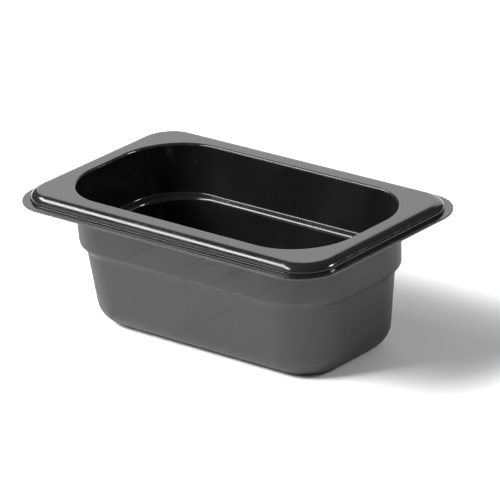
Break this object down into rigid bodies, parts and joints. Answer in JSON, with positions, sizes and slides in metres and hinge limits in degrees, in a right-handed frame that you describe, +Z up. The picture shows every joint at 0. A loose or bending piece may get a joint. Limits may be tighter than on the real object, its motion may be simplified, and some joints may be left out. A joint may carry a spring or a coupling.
{
  "type": "food pan",
  "caption": "Small rectangular food pan with a flat rim and thin hanging lip, rounded mouth, stacking shoulder and drafted walls.",
  "frame": {"origin": "middle of the underside of the floor, where the pan stands", "axes": "+Z up out of the mouth, +X along the pan's length, +Y across its width"},
  "size_m": [0.176, 0.108, 0.064],
  "materials": {
    "black_polycarbonate": "glossy inside and on the rim, satin outside"
  },
  "bodies": {
    "root": {"rim": "black_polycarbonate", "upper_wall": "black_polycarbonate", "stacking_shoulder": "black_polycarbonate", "lower_wall": "black_polycarbonate", "heel": "black_polycarbonate", "floor_panel": "black_polycarbonate"}
  },
  "joints": []
}
